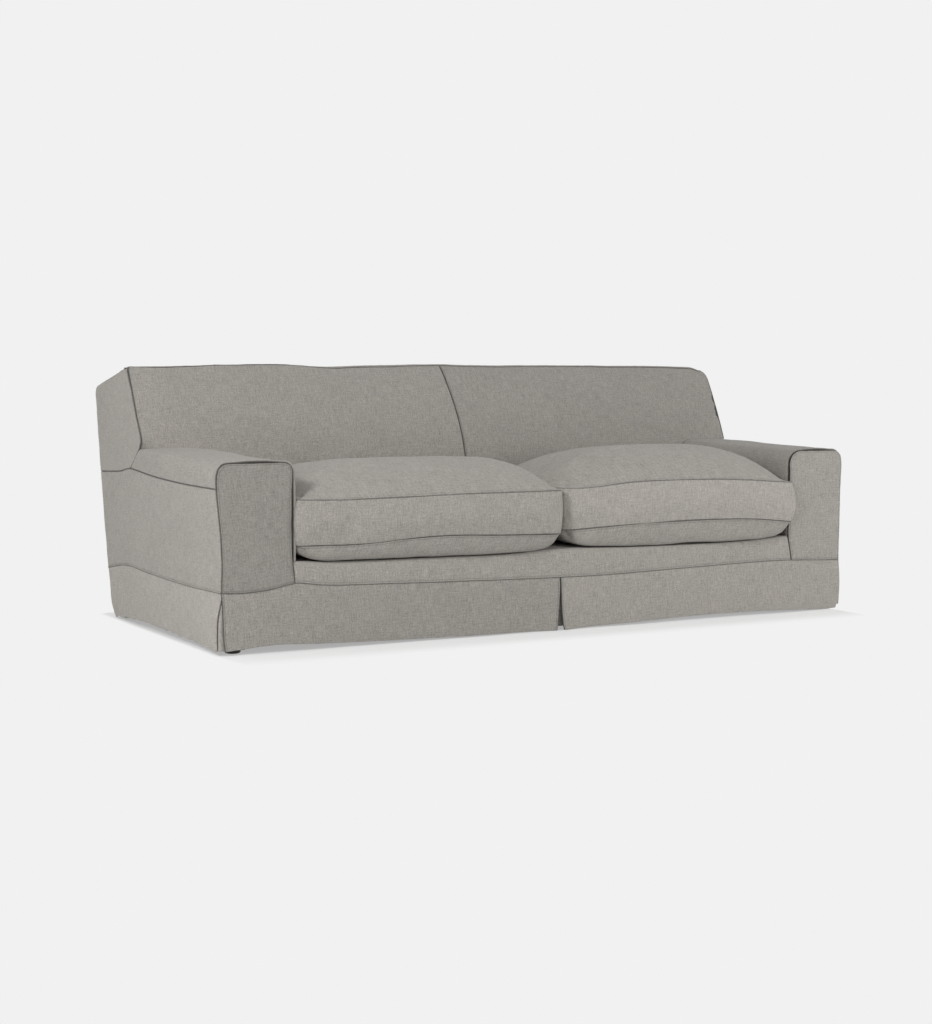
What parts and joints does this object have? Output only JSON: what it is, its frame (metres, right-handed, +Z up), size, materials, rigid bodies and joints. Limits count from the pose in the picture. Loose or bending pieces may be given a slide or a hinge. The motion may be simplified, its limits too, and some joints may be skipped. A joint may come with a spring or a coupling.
{
  "type": "slipcovered sofa",
  "caption": "Low two-seat sofa in a loose linen slipcover, with wide rounded arms, a leaning back, loose seat cushions and a pleated skirt.",
  "frame": {"origin": "on the floor, under the middle of the sofa's box", "axes": "+X towards the sitter's left as seen from the front (the viewer's right), +Y from the front to the back, +Z up"},
  "size_m": [2.3, 1.145, 0.846],
  "materials": {
    "linen": "warm grey slubbed linen, matt",
    "cushion_linen": "warm grey slubbed linen, matt",
    "foam": "cream upholstery foam",
    "frame_wood": "unfinished hardwood",
    "spring_steel": "drawn wire",
    "foot_black": "black satin lacquer",
    "webbing": "woven elastic webbing",
    "zip": "zip tape with fine teeth"
  },
  "bodies": {
    "sofa": {"front_rail": "frame_wood", "seat_back_rail": "frame_wood", "rear_rail": "frame_wood", "side_rail_left": "frame_wood", "side_rail_right": "frame_wood", "centre_rail": "frame_wood", "corner_block_front_left": "frame_wood", "corner_block_front_right": "frame_wood", "corner_block_rear_left": "frame_wood", "corner_block_rear_right": "frame_wood", "foot_front_left": "foot_black", "foot_front_right": "foot_black", "foot_rear_left": "foot_black", "foot_rear_right": "foot_black", "arm_front_board_left": "frame_wood", "arm_front_board_right": "frame_wood", "arm_top_board_left": "frame_wood", "arm_top_board_right": "frame_wood", "back_rib_left": "frame_wood", "back_rib_centre": "frame_wood", "back_rib_right": "frame_wood", "back_top_rail": "frame_wood", "back_lower_rail": "frame_wood", "back_top_board": "frame_wood", "seat_spring_unit_left": "spring_steel", "seat_spring_unit_right": "spring_steel", "spring_clip_strip_front": "spring_steel", "spring_clip_strip_rear": "spring_steel", "back_webbing_left": "webbing", "back_webbing_right": "webbing", "arm_pad_left": "foam", "arm_pad_right": "foam", "deck_pad": "foam", "back_pad": "foam", "cover_arm_top_left": "linen", "cover_arm_top_right": "linen", "cover_arm_front_left": "linen", "cover_arm_front_right": "linen", "cover_side_left": "linen", "cover_side_right": "linen", "cover_back_front_left": "linen", "cover_back_front_right": "linen", "cover_back_side_left": "linen", "cover_back_side_right": "linen", "cover_back_top": "linen", "cover_back_rear": "linen", "cover_front_band": "linen", "cover_deck": "linen", "skirt_front_left": "linen", "skirt_front_right": "linen", "skirt_side_left": "linen", "skirt_side_right": "linen", "skirt_rear": "linen", "pleat_backing_centre": "linen"},
    "seat_cushion_left": {"seat_cushion_left_cover": "cushion_linen", "seat_cushion_left_core": "foam", "seat_cushion_left_zip": "zip"},
    "seat_cushion_right": {"seat_cushion_right_cover": "cushion_linen", "seat_cushion_right_core": "foam", "seat_cushion_right_zip": "zip"}
  },
  "joints": [
    {"name": "lift_left_cushion", "type": "slide", "parent": "sofa", "child": "seat_cushion_left", "axis": [0, 0, 1], "range_m": [0, 0.35]},
    {"name": "lift_right_cushion", "type": "slide", "parent": "sofa", "child": "seat_cushion_right", "axis": [0, 0, 1], "range_m": [0, 0.35]}
  ]
}
